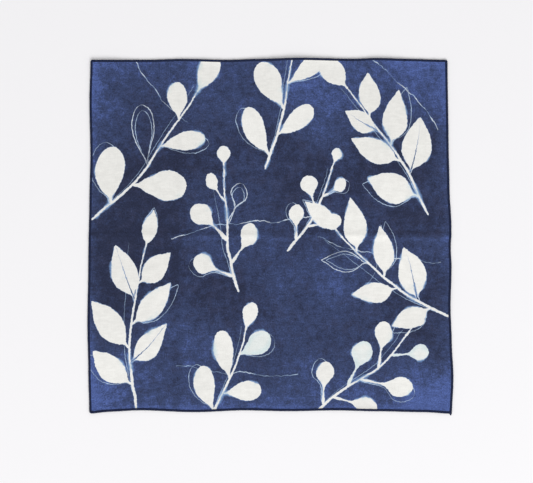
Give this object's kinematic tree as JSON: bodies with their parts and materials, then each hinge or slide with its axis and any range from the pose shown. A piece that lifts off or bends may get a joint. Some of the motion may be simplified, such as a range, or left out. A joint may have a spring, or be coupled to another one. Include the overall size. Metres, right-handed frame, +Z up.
{
  "type": "cloth napkin",
  "caption": "Near-square cloth napkin spread flat, with a narrow rolled hem and low pressed fold lines.",
  "frame": {"origin": "middle of the underside, on the surface that the napkin lies on", "axes": "+Z up off the table through the cloth's thickness, +Y towards the napkin's top edge, +X across it"},
  "size_m": [0.461, 0.448, 0.0035],
  "materials": {
    "printed_cotton": "matt plain-woven cotton, indigo ground with a pale botanical print and a navy hem"
  },
  "bodies": {
    "root": {"cloth": "printed_cotton"}
  },
  "joints": []
}
